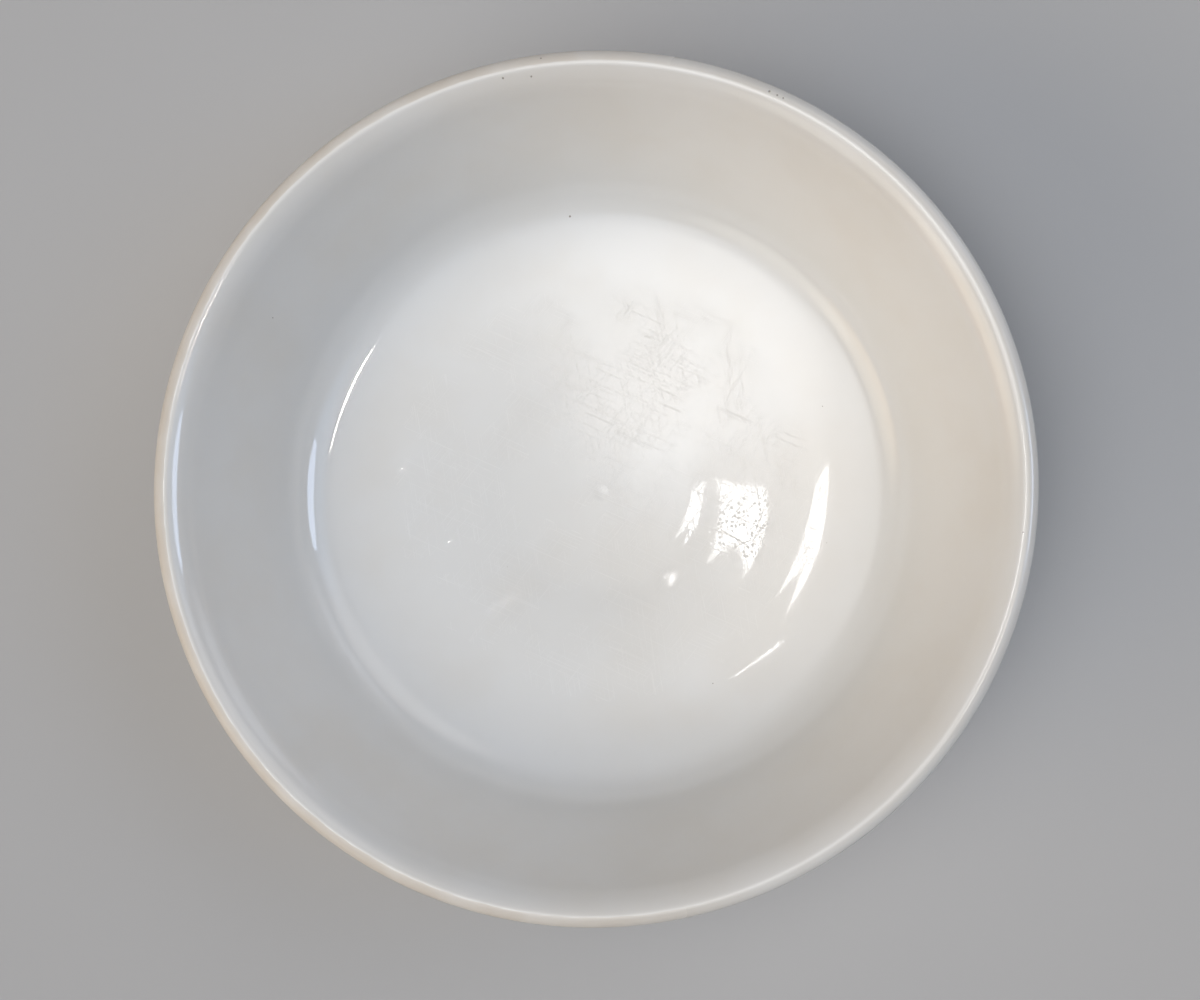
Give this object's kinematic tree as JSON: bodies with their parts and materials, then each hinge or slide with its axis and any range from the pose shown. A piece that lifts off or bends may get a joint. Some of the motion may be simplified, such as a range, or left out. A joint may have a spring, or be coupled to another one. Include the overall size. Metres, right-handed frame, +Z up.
{
  "type": "evaporating dish",
  "caption": "Round, low porcelain evaporating dish with a slightly dished floor, sloping wall, flared round-edged rim and unglazed foot ring; holds liquid for evaporation.",
  "frame": {"origin": "centre of the foot ring's flat face, where the dish stands on the bench", "axes": "+Z up along the axis of revolution, towards the open mouth; +X and +Y lie in the bench plane and are equivalent"},
  "size_m": [0.09, 0.09, 0.0261],
  "materials": {
    "biscuit_porcelain": "matte",
    "white_glaze": "gloss"
  },
  "bodies": {
    "root": {"porcelain_body": "biscuit_porcelain", "glaze_coat": "white_glaze"}
  },
  "joints": []
}
